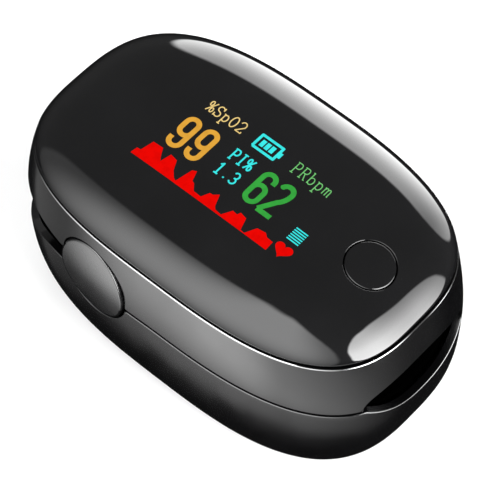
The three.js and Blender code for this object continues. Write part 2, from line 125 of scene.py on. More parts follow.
def bowl_tables():
    """The underside's profile: its outline's scale and its height, against the domain's q."""
    p = np.linspace(0, 1, 12001)
    swing = HALF_TURN * p**1.5 / (p**1.5 + (1 - p) ** 1.5)
    scale = mix(BASE_SCALE, 1, np.sin(swing) ** (2 / BOWL_POWER))
    z = WIDEST_Z * (1 - np.maximum(np.cos(swing), 0) ** (2 / BOWL_POWER))
    q = scale + z / WIDEST[0]
    return np.append(0, q), np.append(0, scale), np.append(0, z)


BOWL_Q, BOWL_SCALE, BOWL_Z = bowl_tables()


def body(domain):
    """The shells' outer surface: the underside in the middle of the domain, and the wall round it."""
    ax, ay = domain[:, 0] / WIDEST[0], domain[:, 1] / WIDEST[1]
    q = size_of(ax, ay, WIDEST_POWER)
    far = np.maximum(np.hypot(ax, ay), 1e-12)
    c, s = ax / far, ay / far
    level = (q - 1) * WIDEST[0]
    share = taper(level)
    scale = np.interp(q, BOWL_Q, BOWL_SCALE)
    r = reach(c, s, mix(WIDEST_POWER, EDGE_POWER, share))
    x = mix(WIDEST[0], EDGE[0], share) * scale * c * r
    y = mix(WIDEST[1], EDGE[1], share) * scale * s * r
    above = WIDEST_Z + (level - WIDEST_Z) * (edge_height(y) - WIDEST_Z) / (EDGE_Z - WIDEST_Z)
    z = np.where(level > WIDEST_Z, above, np.interp(q, BOWL_Q, BOWL_Z))
    return np.column_stack([x, y, z])


def crown_profile(swing):
    """The crown's outline scale and its lift, from the middle (swing 0) to the edge."""
    return np.sqrt(np.sin(swing)), np.maximum(np.cos(swing), 0) ** 1.25


def crown_tables():
    swing = HALF_TURN * np.linspace(0, 1, 12001) ** 2
    rho, lift = crown_profile(swing)
    step = np.hypot(np.diff(EDGE[0] * rho), np.diff(CROWN * lift))
    run = np.append(0, np.cumsum(step))
    return swing, run / run[-1]


CROWN_SWING, CROWN_RUN = crown_tables()


def crown(domain):
    """The cover's outer surface."""
    ax, ay = domain[:, 0] / EDGE[0], domain[:, 1] / EDGE[1]
    s = size_of(ax, ay, EDGE_POWER)
    rho, lift = crown_profile(np.interp(s, CROWN_RUN, CROWN_SWING))
    grow = rho / np.maximum(s, 1e-12)
    x, y = domain[:, 0] * grow, domain[:, 1] * grow
    z = EDGE_Z + CROWN * lift - EDGE_SAG * y * y * (1 - lift)
    return np.column_stack([x, y, z])


def crown_domain(x, y):
    """Where the point of the crown over x, y lies in its domain."""
    rho = size_of(x / EDGE[0], y / EDGE[1], EDGE_POWER)
    s = np.interp(np.arcsin(np.clip(rho**2, 0, 1)), CROWN_SWING, CROWN_RUN)
    grow = s / np.maximum(rho, 1e-12)
    return np.column_stack([x * grow, y * grow])


def slopes(surface, domain):
    step = 0.02
    across, along = np.array([step, 0.0]), np.array([0.0, step])
    du = (surface(domain + across) - surface(domain - across)) / (2 * step)
    dv = (surface(domain + along) - surface(domain - along)) / (2 * step)
    return du, dv


def unit(v):
    return v / np.maximum(np.linalg.norm(v, axis=1, keepdims=True), 1e-12)


def normals(surface, domain, out):
    du, dv = slopes(surface, domain)
    return unit(np.cross(du, dv)) * out


# ---- where things lie on the wall


def wall_level(y, z):
    """The height z at y as the level it would have on a wall whose top edge doesn't sag."""
    above = WIDEST_Z + (z - WIDEST_Z) * (EDGE_Z - WIDEST_Z) / (edge_height(y) - WIDEST_Z)
    return np.where(z > WIDEST_Z, above, z)


def wall_outline(level):
    """The wall's outline at a level: its half sizes and its power, and its q in the domain."""
    share = taper(level)
    drop = np.clip(1 - level / WIDEST_Z, 0, 1)
    scale = mix(BASE_SCALE, 1, (1 - drop**BOWL_POWER) ** (1 / BOWL_POWER))
    half_x, half_y = (mix(WIDEST[i], EDGE[i], share) * scale for i in (0, 1))
    return half_x, half_y, mix(WIDEST_POWER, EDGE_POWER, share), scale + level / WIDEST[0]


def wall_domain(c, s, q):
    r = reach(c, s, WIDEST_POWER)
    return np.column_stack([WIDEST[0] * c * r * q, WIDEST[1] * s * r * q])


def wall_at_y(y, z):
    """Domain points on the +X wall at these y and z."""
    half_x, half_y, power, q = wall_outline(wall_level(y, z))
    s = y / half_y
    c = np.maximum(1 - np.abs(s) ** power, 0) ** (1 / power)
    far = np.hypot(c, s)
    return wall_domain(c / far, s / far, q)


def wall_at_x(end, x, z):
    """Domain points on the front (end -1) or rear (end 1) wall at these x and z."""
    y = np.full_like(x, end * WIDEST[1])
    for _ in range(6):
        half_x, half_y, power, q = wall_outline(wall_level(y, z))
        c = x / half_x
        s = end * np.maximum(1 - np.abs(c) ** power, 0) ** (1 / power)
        y = s * half_y
    far = np.hypot(c, s)
    return wall_domain(c / far, s / far, q)


def wall_at_turn(turn, height):
    """Domain points on the wall at these turns about Z, at the height that a function of y gives."""
    c, s = np.cos(turn), np.sin(turn)
    y = WIDEST[1] * s * reach(c, s, WIDEST_POWER)
    for _ in range(8):
        half_x, half_y, power, q = wall_outline(wall_level(y, height(y)))
        y = half_y * s * reach(c, s, power)
    return wall_domain(c, s, q)


def bowl_at(x, y):
    """Domain points of the lower shell under these x and y."""
    scale = size_of(x / WIDEST[0], y / WIDEST[1], WIDEST_POWER)
    t = np.clip((scale - BASE_SCALE) / (1 - BASE_SCALE), 0, 1)
    z = WIDEST_Z * (1 - (1 - t**BOWL_POWER) ** (1 / BOWL_POWER))
    grow = (scale + z / WIDEST[0]) / np.maximum(scale, 1e-12)
    return np.column_stack([x * grow, y * grow])


def eased(table, window):
    """A piecewise straight line as a function with its corners rounded over a window."""
    xs, zs = np.array(table, float).T
    shifts = np.linspace(-window, window, 9)
    return lambda y: sum(np.interp(y + d, xs, zs) for d in shifts) / len(shifts)


upper_edge = eased(UPPER_EDGE, 1.0)
lower_edge = eased(LOWER_EDGE, 1.0)


def arch_height(x):
    out = np.clip(np.abs(x) / CHANNEL_HALF, 0, 1)
    return CHANNEL_Z + ARCH_RISE * (1 - out**ARCH_POWER) ** (1 / ARCH_POWER)


def scoop_height(x):
    return CHANNEL_Z - SCOOP_DROP * (1 - (x / CHANNEL_HALF) ** 2)


def crossing(f, a, b):
    """Where a function changes its sign between a and b."""
    for _ in range(60):
        m = (a + b) / 2
        if (f(a) > 0) == (f(m) > 0):
            a = m
        else:
            b = m
    return (a + b) / 2


# ---- loops and patches


def run(surface, curve, start, end, step):
    """A curve's domain points from start to just before end, evenly spaced in space."""
    t = np.linspace(start, end, 1200)
    points = surface(curve(t))
    length = np.append(0, np.cumsum(np.linalg.norm(np.diff(points, axis=0), axis=1)))
    count = max(2, int(round(length[-1] / step)))
    return curve(np.interp(np.linspace(0, length[-1], count + 1)[:-1], length, t))


def mirrored(half, last):
    """A whole loop from its half at x >= 0 and the half's last point, both on x = 0 at the ends."""
    flip = np.array([-1, 1])
    return np.vstack([half, last, (half[1:] * flip)[::-1]])


def area(loop):
    x, y = loop.T
    return 0.5 * np.sum(x * np.roll(y, -1) - np.roll(x, -1) * y)


def inside(points, loops):
    """Which points lie within an odd number of loops."""
    odd = np.zeros(len(points), bool)
    px, py = points[:, 0], points[:, 1]
    for loop in loops:
        for (x0, y0), (x1, y1) in zip(loop, np.roll(loop, -1, axis=0)):
            if y0 == y1:
                continue
            cross = (y0 > py) != (y1 > py)
            if cross.any():
                odd[cross] ^= px[cross] < (x1 - x0) * (py[cross] - y0) / (y1 - y0) + x0
    return odd


def tree_of(points):
    tree = KDTree(len(points))
    for i, p in enumerate(points):
        tree.insert(p, i)
    tree.balance()
    return tree


def distances(tree, points):
    return np.array([tree.find(p)[2] for p in points])


def new_object(name, vertices, faces, corner_normals=None, sharp=None):
    mesh = bpy.data.meshes.new(name)
    mesh.from_pydata((np.asarray(vertices) * MM).tolist(), [], faces)
    mesh.update()
    mesh.polygons.foreach_set("use_smooth", [True] * len(mesh.polygons))
    if corner_normals is not None:
        mesh.normals_split_custom_set(corner_normals)
    elif sharp is not None:
        mesh.set_sharp_from_angle(angle=math.radians(sharp))
    obj = bpy.data.objects.new(name, mesh)
    bpy.context.scene.collection.objects.link(obj)
    return obj


def patch(name, surface, out, loops, rounding, thickness, grid, spacing, inner=None, relief=None):
    """A closed shell over the part of a surface within its loops, with rounded edges.

    The first loop is the outer one. `out` is the side that the outer skin faces, 1 or -1. `grid` holds the
    domain points to choose the inside vertices from. `inner` turns domain points into the inner skin."""
    loops = [loop if (area(loop) > 0) == (i == 0) else loop[::-1] for i, loop in enumerate(loops)]
    domain, lower, outward, edges = [], [], [], []
    fine = np.vstack([np.vstack([mix(l, np.roll(l, -1, axis=0), k / 6) for k in range(6)]) for l in loops])
    tree = tree_of(surface(fine))
    count, first = 0, []
    for loop, round_by in zip(loops, rounding):
        place = surface(loop)
        n = normals(surface, loop, out)
        tangent = unit(np.roll(place, -1, axis=0) - np.roll(place, 1, axis=0))
        du, dv = slopes(surface, loop)
        side = unit(np.cross(n, tangent))
        jac = np.stack([du, dv], axis=2)
        shift = np.stack([np.linalg.pinv(j) @ m for j, m in zip(jac, side)])
        along = np.roll(loop, -1, axis=0) - np.roll(loop, 1, axis=0)
        left = np.column_stack([-along[:, 1], along[:, 0]])
        sign = np.sign(np.sum(shift * left, axis=1))[:, None]
        side, shift = side * sign, shift * sign
        total = len(loop)
        first.append((count, total))
        for angle in ROUND_ANGLES:
            d = round_by * (1 - math.cos(angle))
            row = loop + shift * d
            if d > 0:
                off = distances(tree, surface(row))
                keep = (off > d * 0.93 - 0.01) & inside(row, loops)
            else:
                keep = np.ones(total, bool)
            number = np.full(total, -1)
            number[keep] = count + np.arange(keep.sum())
            edges += [(int(a), int(b)) for a, b in zip(number, np.roll(number, -1)) if min(a, b) >= 0]
            domain.append(row[keep])
            lower.append(np.full(keep.sum(), round_by * (1 - math.sin(angle))))
            outward.append((-side * math.cos(angle))[keep])
            count += int(keep.sum())
    candidates = grid[inside(grid, loops)]
    off = distances(tree, surface(candidates))
    kept = candidates[off > max(rounding) + 0.55 * spacing]
    domain.append(kept)
    lower.append(np.zeros(len(kept)))
    outward.append(np.zeros((len(kept), 3)))
    domain, lower, outward = np.vstack(domain), np.concatenate(lower), np.vstack(outward)

    made = delaunay_2d_cdt([Vector(p) for p in domain.tolist()], edges, [], 0, 1e-7)
    places, triangles, origin = np.array([tuple(v) for v in made[0]]), np.array(made[2]), made[3]
    source = [o[0] if o else -1 for o in origin]
    if any(s < 0 for s in source):
        # a row crossed another: its new points take their nearest neighbour's rounding
        near = tree_of(np.column_stack([domain, np.zeros(len(domain))]))
        source = [near.find((*p, 0))[1] if s < 0 else s for s, p in zip(source, places)]
    source = np.array(source)
    middle = places[triangles].mean(axis=1)
    triangles = triangles[inside(middle, loops)]
    lower, outward = lower[source], outward[source]

    on = surface(places)
    n = normals(surface, places, out)
    top = on - n * lower[:, None]
    if relief is not None:
        top = top + n * relief(on)[:, None]
    bottom = inner(places) if inner is not None else on - n * thickness
    up = np.sqrt(np.clip(1 - np.sum(outward**2, axis=1), 0, 1))
    smooth = unit(n * up[:, None] + outward)

    # triangles come anticlockwise in the domain, which may be the wrong way round in space
    cross = np.cross(*(on[triangles[:, k]] - on[triangles[:, 0]] for k in (1, 2)))
    turned = np.sum(cross * n[triangles[:, 0]]) < 0
    if turned:
        triangles = triangles[:, ::-1]
    half = len(places)
    faces = triangles.tolist() + (triangles[:, ::-1] + half).tolist()
    # a corner with a zero normal is shaded by its faces
    corner = [smooth[i] if relief is None else np.zeros(3) for t in triangles for i in t]
    corner += [-n[i] if inner is None else np.zeros(3) for t in triangles[:, ::-1] for i in t]
    where = {}
    for i, s in enumerate(source):
        where.setdefault(int(s), i)
    for start, total in first:
        for i in range(total):
            a, b = where[start + i], where[start + (i + 1) % total]
            quad = [a, b, b + half, a + half] if turned else [b, a, a + half, b + half]
            faces.append(quad)
            corner += [outward[k % half] for k in quad]
    vertices = np.vstack([top, bottom])
    used = np.zeros(len(vertices), bool)
    used[[i for f in faces for i in f]] = True
    renumber = np.cumsum(used) - 1
    faces = [[int(renumber[i]) for i in f] for f in faces]
    return new_object(name, vertices[used], faces, [tuple(c) for c in corner])


def rings_grid(surface, power, half, q_from, q_to, spacing):
    """Domain points in rings, evenly spaced in space."""
    turn = np.linspace(0, 2 * math.pi, 400, endpoint=False)
    c, s = np.cos(turn), np.sin(turn)
    r = reach(c, s, power)
    rim = np.column_stack([half[0] * c * r, half[1] * s * r])
    q = np.linspace(q_from, q_to, 1500)
    spine = surface(rim[:1] * q[:, None])
    length = np.append(0, np.cumsum(np.linalg.norm(np.diff(spine, axis=0), axis=1)))
    points = []
    for k in range(int(length[-1] / spacing) + 1):
        level = np.interp(k * spacing, length, q)
        ring = surface(rim * level)
        around = np.linalg.norm(np.diff(np.vstack([ring, ring[:1]]), axis=0), axis=1)
        total = np.append(0, np.cumsum(around))
        number = max(1, int(round(total[-1] / spacing)))
        at = (np.arange(number) + 0.5 * (k % 2)) / number * total[-1]
        t = np.interp(at, total, np.append(turn, 2 * math.pi))
        c2, s2 = np.cos(t), np.sin(t)
        r2 = reach(c2, s2, power)
        points.append(np.column_stack([half[0] * c2 * r2, half[1] * s2 * r2]) * level)
    return np.vstack(points)


def cap_radius(a):
    return 1 / np.hypot(np.cos(a) / CAP_HALF[0], np.sin(a) / CAP_HALF[1])


def oval(gap, swing):
    """The notch round a hinge cap, clear of the cap while the notch turns about the hinge by `swing`."""
    def radius(a):
        clear = np.max([cap_radius(a - t) for t in np.linspace(0, swing, 5)], axis=0) + CAP_CLEAR
        return np.maximum(cap_radius(a) + gap, clear)
    return (
        lambda a: HINGE_Y + radius(a) * np.cos(a),
        lambda a: HINGE_Z + radius(a) * np.sin(a),
    )


def turn_of(domain):
    return math.atan2(domain[0, 1] / WIDEST[1], domain[0, 0] / WIDEST[0])


def jaw_loop(edge, mouth, cap_gap, over):
    """The edge of one jaw: its mouth, its seam, and the notch for the hinge cap, anticlockwise."""
    corner_z = edge(MOUTH_CORNER_Y)
    corner = crossing(lambda x: float(mouth(np.array(x)) - corner_z) * (1 if over else -1), 5.0, CHANNEL_HALF)
    oval_y, oval_z = oval(cap_gap, JAW_SWING if over else 0)
    gap_at = lambda a: float(oval_z(a) - edge(oval_y(a)))
    front = crossing(gap_at, math.pi - 0.6, math.pi + 0.6)
    rear = crossing(gap_at, -0.6, 0.6)
    notch = (front, rear if over else rear + 2 * math.pi)
    on_oval = lambda a: wall_at_y(oval_y(a), oval_z(a))
    seam = lambda t: wall_at_turn(t, edge)
    t0 = turn_of(wall_at_x(-1, np.array([corner]), np.array([float(corner_z)])))
    t1, t2 = (turn_of(on_oval(np.array([a]))) for a in (front, rear))
    half = np.vstack([run(body, curve, start, stop, SEAM_STEP) for curve, start, stop in (
        (lambda x: wall_at_x(-1, x, mouth(x)), 0, corner), (seam, t0, t1),
        (on_oval, *notch), (seam, t2, HALF_TURN),
    )])
    return mirrored(half, seam(np.array([HALF_TURN])))


# ---- shells

pieces = {}

top_rim = wall_at_turn(
    np.linspace(0, 2 * math.pi, 460, endpoint=False), lambda y: edge_height(y) - COVER_GAP
)
wall_grid = rings_grid(body, WIDEST_POWER, WIDEST, 1.6, 2.62, SPACING)
pieces["upper_shell"] = patch(
    "upper_shell", body, -1,
    [top_rim, jaw_loop(upper_edge, arch_height, CAP_GAP_UPPER, True)],
    rounding=(RIM_ROUND, 0.1), thickness=WALL, grid=wall_grid, spacing=SPACING,
)


def hatch_loop(half, front, top, radius):
    """The battery hatch's outline on the underside and up the rear wall."""
    side_x = half - radius
    across_front = lambda x: bowl_at(x, np.full_like(x, front))
    front_corner = lambda a: bowl_at(side_x + radius * np.sin(a), front + radius - radius * np.cos(a))
    side = lambda y: bowl_at(np.full_like(y, half), y)
    across_top = lambda x: wall_at_x(1, x, np.full_like(x, top))
    # the rear corner turns from the side line into the line at the hatch's top
    end = float(body(across_top(np.array([side_x])))[0, 1])
    stop = crossing(lambda y: float(body(side(np.array([y])))[0, 2] - (top - radius)), front, end + 3)

    def rear_corner(t):
        a, b, c = side(np.array([stop])), across_top(np.array([side_x])), across_top(np.array([half]))
        t = t[:, None]
        return (1 - t) ** 2 * a + 2 * t * (1 - t) * c + t**2 * b

    half_loop = np.vstack([run(body, curve, start, stop_at, SEAM_STEP) for curve, start, stop_at in (
        (across_front, 0, side_x), (front_corner, 0, HALF_TURN), (side, front + radius, stop),
        (rear_corner, 0, 1), (across_top, side_x, 0),
    )])
    return mirrored(half_loop, across_top(np.array([0.0])))


bowl_grid = rings_grid(body, WIDEST_POWER, WIDEST, 0.02, 2.0, SPACING)
pieces["lower_shell"] = patch(
    "lower_shell", body, -1,
    [
        jaw_loop(lower_edge, scoop_height, CAP_GAP_LOWER, False),
        hatch_loop(DOOR_HALF + DOOR_GAP, DOOR_FRONT - DOOR_GAP, DOOR_TOP + DOOR_GAP, DOOR_CORNER + DOOR_GAP),
    ],
    rounding=(0.12, 0.2), thickness=BOWL_WALL, grid=bowl_grid, spacing=SPACING,
)


def grip(place):
    """A shallow thumb hollow with three ribs on the battery door."""
    x, y, z = place.T
    middle = sum(GRIP_Y) / 2
    hollow = 1 - smoothstep((np.hypot(x / 6.5, (y - middle) / 5.2) - 0.72) / 0.28)
    ribs = np.exp(-(((y - middle + GRIP_PITCH / 2) % GRIP_PITCH - GRIP_PITCH / 2) / 0.42) ** 2)
    within = 1 - smoothstep((np.abs(x) - 4.2) / 0.5)
    within = within * (1 - smoothstep((np.abs(y - middle) - 3.1) / 0.4))
    underside = z < 3.0
    return np.where(underside, -GRIP_HOLLOW * hollow + GRIP_RIB * ribs * within * hollow, 0)


def lattice(xs, ys, x_step, y_step):
    """A plain grid of domain points."""
    return np.stack(np.meshgrid(np.arange(*xs, x_step), np.arange(*ys, y_step)), axis=-1).reshape(-1, 2)


grip_field = (GRIP_Y[0] - 1, GRIP_Y[1] + 1)
off_grip = [bowl_grid[bowl_grid[:, 1] < grip_field[0]], bowl_grid[bowl_grid[:, 1] > grip_field[1]]]
pieces["battery_lid"] = patch(
    "battery_lid", body, -1,
    [hatch_loop(DOOR_HALF, DOOR_FRONT, DOOR_TOP, DOOR_CORNER)],
    rounding=(0.2,), thickness=BOWL_WALL,
    grid=np.vstack([*off_grip, lattice((-DOOR_HALF, DOOR_HALF), grip_field, 0.3, 0.22)]),
    spacing=0.25, relief=grip,
)


# ---- cover and button


def crown_slope():
    h = 0.5
    z = crown(crown_domain(np.zeros(2), np.array([BUTTON_Y - h, BUTTON_Y + h])))[:, 2]
    return math.atan2(z[1] - z[0], 2 * h)


BUTTON_TILT = crown_slope()
BUTTON_TOP = crown(crown_domain(np.zeros(1), np.array([BUTTON_Y])))[0]
BUTTON_ALONG = np.array([0, math.cos(BUTTON_TILT), math.sin(BUTTON_TILT)])
BUTTON_UP = np.array([0, -math.sin(BUTTON_TILT), math.cos(BUTTON_TILT)])


def button_circle(radius):
    def curve(a):
        x = radius * np.cos(a)
        y = BUTTON_Y + radius * np.sin(a) * BUTTON_ALONG[1]
        return crown_domain(x, y)
    return curve


cover_grid = rings_grid(crown, EDGE_POWER, EDGE, 0.01, 0.999, SPACING)


def cover_inner(domain):
    """The cover's inner skin: a wall's thickness in, and drawn in squarely near the edge."""
    on = crown(domain)
    straight = on - normals(crown, domain, 1) * WALL
    shrink = np.array([1 - WALL / EDGE[0], 1 - WALL / EDGE[1]])
    drawn = on.copy()
    drawn[:, :2] *= shrink
    drawn[:, 2] -= WALL * np.clip((on[:, 2] - EDGE_Z) / CROWN, 0, 1)
    s = size_of(domain[:, 0] / EDGE[0], domain[:, 1] / EDGE[1], EDGE_POWER)
    drawn[:, 2] -= COVER_TONGUE * smoothstep((s - 0.92) / 0.08)
    return mix(straight, drawn, smoothstep((s - 0.62) / 0.3)[:, None])


pieces["cover_shell"] = patch(
    "cover_shell", crown, 1,
    [
        run(crown, lambda a: np.column_stack([
            EDGE[0] * np.cos(a) * reach(np.cos(a), np.sin(a), EDGE_POWER),
            EDGE[1] * np.sin(a) * reach(np.cos(a), np.sin(a), EDGE_POWER),
        ]), 0, 2 * math.pi, SEAM_STEP),
        run(crown, button_circle(BUTTON_RADIUS + BUTTON_GAP), 0, 2 * math.pi, 0.25),
    ],
    rounding=(0.16, 0.1), thickness=WALL, grid=cover_grid, spacing=SPACING, inner=cover_inner,
)


def ringed(name, rings, sharp=35):
    """A closed body through rings of equally many points, fanned over at both ends."""
    count = len(rings[0])
    pairs = [(i, (i + 1) % count) for i in range(count)]
    start = [level * count for level in range(len(rings))]
    faces = [[s + a, s + b, s + b + count, s + a + count] for s in start[:-1] for a, b in pairs]
    first = len(rings) * count
    for a, b in pairs:
        faces += [[first, b, a], [first + 1, start[-1] + a, start[-1] + b]]
    vertices = np.vstack([*rings, rings[0].mean(axis=0), rings[-1].mean(axis=0)])
    return new_object(name, vertices, faces, sharp=sharp)


def power_button():
    turn = np.linspace(0, 2 * math.pi, 96, endpoint=False)
    flat = lambda r, drop: (
        BUTTON_TOP + np.outer(r * np.cos(turn), [1, 0, 0]) + np.outer(r * np.sin(turn), BUTTON_ALONG)
        - BUTTON_UP * drop
    )
    # the stem, the flange that keeps the button in the cover, and the side: radius and drop under the top
    rings = [flat(r, d) for r, d in (
        (0.5, 2.86), (1.0, 2.86), (1.1, 2.78), (1.1, 2.35), (3.6, 2.35), (3.7, 2.25), (3.7, 1.95),
        (3.6, 1.85), (BUTTON_RADIUS, 1.85), (BUTTON_RADIUS, 1.0), (BUTTON_RADIUS, 0.5),
    )]
    for angle in ROUND_ANGLES:
        r = BUTTON_RADIUS - BUTTON_RIM * (1 - math.cos(angle))
        top = crown(button_circle(r)(turn))
        rings.append(top - BUTTON_UP * BUTTON_RIM * (1 - math.sin(angle)))
    for r in np.linspace(BUTTON_RADIUS - BUTTON_RIM - 0.25, 0.25, 11):
        rings.append(crown(button_circle(r)(turn)))
    return ringed("button_cap", rings)


pieces["button_cap"] = power_button()


# ---- hinge caps


def wall_x(y, z):
    half_x, half_y, power, _ = wall_outline(np.maximum(z, WIDEST_Z))
    return half_x * (1 - np.abs(y / half_y) ** power) ** (1 / power)


def cap_x(y, z, rise):
    """A cap's face: along the wall, and pillowed up and down."""
    slope = float(wall_x(HINGE_Y + 0.5, HINGE_Z) - wall_x(HINGE_Y - 0.5, HINGE_Z))
    flat = float(wall_x(HINGE_Y, HINGE_Z)) + slope * (y - HINGE_Y)
    pillow = CAP_PILLOW * (1 - ((z - HINGE_Z) / CAP_HALF[1]) ** 2)
    return mix(flat, wall_x(y, z), CAP_FOLLOW) + rise + pillow


def hinge_cap(name, side):
    turn = side * np.linspace(0, 2 * math.pi, 128, endpoint=False)

    def oval_ring(share, depth):
        """The cap's outline at a share of its size, at the depth that a function of y and z gives."""
        y = HINGE_Y + CAP_HALF[0] * share * np.cos(turn)
        z = HINGE_Z + CAP_HALF[1] * share * np.sin(turn)
        return np.column_stack([side * depth(y, z), y, z])

    rings = [oval_ring(share, lambda y, z: np.full_like(y, CAP_INNER)) for share in (0.3, 0.9, 0.985)]
    rings += [oval_ring(1, lambda y, z, d=d: wall_x(y, z) - d) for d in (1.2, 0.3)]
    for angle in np.radians([0, 20, 40, 60, 80]):
        share = 1 - CAP_RIM / CAP_HALF[0] * (1 - math.cos(angle))
        rings.append(oval_ring(share, lambda y, z, a=angle: cap_x(y, z, -CAP_RIM * (1 - math.sin(a)))))
    rim_faces = (len(rings) + 1) * len(turn)
    rings += [oval_ring(share, lambda y, z: cap_x(y, z, 0.0)) for share in (
        0.962, 0.955, 0.94, 0.92, 0.89, 0.85, 0.8, 0.74, 0.67, 0.6, 0.52, 0.44, 0.36, 0.28, 0.2, 0.12, 0.05
    )]
    made = ringed(name, rings, sharp=60)
    # the rim is painted near black on its lower and rear side: a painted shadow line round the cap
    for polygon in made.data.polygons[:rim_faces]:
        place = polygon.center / MM
        up, back = (place.z - HINGE_Z) / CAP_HALF[1], (place.y - HINGE_Y) / CAP_HALF[0]
        polygon.material_index = int(0.9 * up < 0.15 + 0.35 * back)
    return made


for name, side in (("cap_left", -1), ("cap_right", 1)):
    pieces[name] = hinge_cap(name, side)


# ---- finger pads


def window_loop():
    """The pads' window: a rectangle with rounded corners."""
    (wx, wy), corner = WINDOW_HALF, WINDOW_CORNER
    turns = []
    for k, (sx, sy) in enumerate(((1, 1), (-1, 1), (-1, -1), (1, -1))):
        a = HALF_TURN * k + np.linspace(0, HALF_TURN, 5)
        x = sx * (wx - corner) + corner * np.cos(a)
        y = WINDOW_Y + sy * (wy - corner) + corner * np.sin(a)
        turns.append(np.column_stack([x, y]))
    turns = np.vstack(turns)
    fine = []
    for a, b in zip(turns, np.roll(turns, -1, axis=0)):
        n = max(1, int(np.linalg.norm(b - a) / PAD_STEP))
        fine.append(mix(a, b, (np.arange(n) / n)[:, None]))
    return np.vstack(fine)


def pad(name, height, block, flange, closed, out):
    """A silicone pad: its channel side follows `height` across, and closes to `closed` at the stop. Its back
    lies at `block` in the middle and at `flange` on both sides."""
    xs = np.linspace(0, WIDEST[0], 6001)
    zs = height(xs)
    length = np.append(0, np.cumsum(np.hypot(np.diff(xs), np.diff(zs))))

    def lay(domain):
        u = np.abs(domain[:, 0])
        x, z = np.interp(u, length, xs), np.interp(u, length, zs)
        stop = smoothstep((domain[:, 1] - (CHANNEL_STOP - 2.6)) / 2.4)
        return np.column_stack([np.sign(domain[:, 0]) * x, domain[:, 1], mix(z, closed, stop)])

    def back(domain):
        place = lay(domain)
        place[:, 2] = mix(block, flange, smoothstep((np.abs(place[:, 0]) - PAD_HALF + 0.3) / 0.3))
        return place

    half = (WIDEST[0] - PAD_INSET, WIDEST[1] - PAD_FRONT_INSET)
    front = lambda x: -half[1] * (1 - (x / half[0]) ** WIDEST_POWER) ** (1 / WIDEST_POWER)
    wide = lambda y: half[0] * (1 - np.abs(y / half[1]) ** WIDEST_POWER) ** (1 / WIDEST_POWER)
    at = lambda x, y: np.column_stack([np.interp(x, xs, length), y])
    line = lambda y: lambda x: at(x, np.full_like(x, y))
    turn_y = float(front(np.array(PAD_TURN)))
    rim = float(wide(np.array(FLANGE_BACK)))
    half_loop = np.vstack([run(lay, curve, start, stop, PAD_STEP) for curve, start, stop in (
        (lambda x: at(x, front(x)), 0, PAD_TURN),
        (lambda y: at(wide(y), y), turn_y, FLANGE_BACK),
        (line(FLANGE_BACK), rim, PAD_HALF),
        (lambda y: at(np.full_like(y, PAD_HALF), y), FLANGE_BACK, PAD_BACK),
        (line(PAD_BACK), PAD_HALF, 0),
    )])
    loop = mirrored(half_loop, at(np.zeros(1), np.array([PAD_BACK])))
    grid = lattice((-length[-1], length[-1]), (-WIDEST[1], PAD_BACK), PAD_SPACING, PAD_SPACING)
    return patch(name, lay, out, [loop, window_loop()], rounding=(0.45, 0.3), thickness=None,
                 grid=grid, spacing=PAD_SPACING, inner=back)


def soft_min(a, b):
    """The lower of two heights, eased where they meet."""
    return np.minimum(a, b) - PAD_EASE / 2 * np.exp(-np.abs(a - b) / PAD_EASE)


pieces["lower_pad"] = pad(
    "lower_pad",
    lambda x: soft_min(scoop_height(x), 17.3),
    block=13.3, flange=16.2, closed=17.25, out=1,
)
pieces["upper_pad"] = pad(
    "upper_pad",
    lambda x: -soft_min(-arch_height(x), -17.6),
    block=22.15, flange=18.7, closed=17.6, out=-1,
)


# ---- readout
# Drawn in reader's millimetres: u runs to the reader's right, towards the button, and v up.

LIFT, DEPTH = 0.02, 0.06


def arc(cx, cy, rx, ry, start, end, steps=14):
    a = np.radians(np.linspace(start, end, steps + 1))
    return np.column_stack([cx + rx * np.cos(a), cy + ry * np.sin(a)])


def path(*parts):
    return np.vstack([np.atleast_2d(np.array(p, float)) for p in parts])


def stroke(points, width):
    """A line of even width as overlapping pieces, none of them long, with round joints."""
    shapes, r = [], width / 2
    for a, b in zip(points, points[1:]):
        reached = np.linalg.norm(b - a)
        if reached < 1e-6:
            continue
        side = np.array([a[1] - b[1], b[0] - a[0]]) / reached * r
        count = max(1, int(math.ceil(reached / 0.5)))
        for k in range(count):
            p, q = mix(a, b, k / count), mix(a, b, (k + 1) / count)
            shapes.append([p - side, q - side, q + side, p + side])
    for p in points[1:-1]:
        shapes.append(list(arc(p[0], p[1], r, r, 0, 337.5, 15)))
    return shapes


def big_nine(w, h):
    r = w / 2
    return [
        path(arc(r, h - r, r, r, 0, 180), arc(r, h * 0.42 + r, r, r, 180, 360), (w, h - r)),
        path((w, h - r), (w, r), arc(r, r, r, r, 0, -180), (0, r + 0.35)),
    ]


def big_two(w, h):
    r = w / 2
    return [path(arc(r, h - r, r, r, 170, 0), arc(w - 1.9, h - r, 1.9, 2.4, 0, -52, 8), (-0.3, 0.06)),
            path((-0.36, 0), (w + 0.1, 0))]


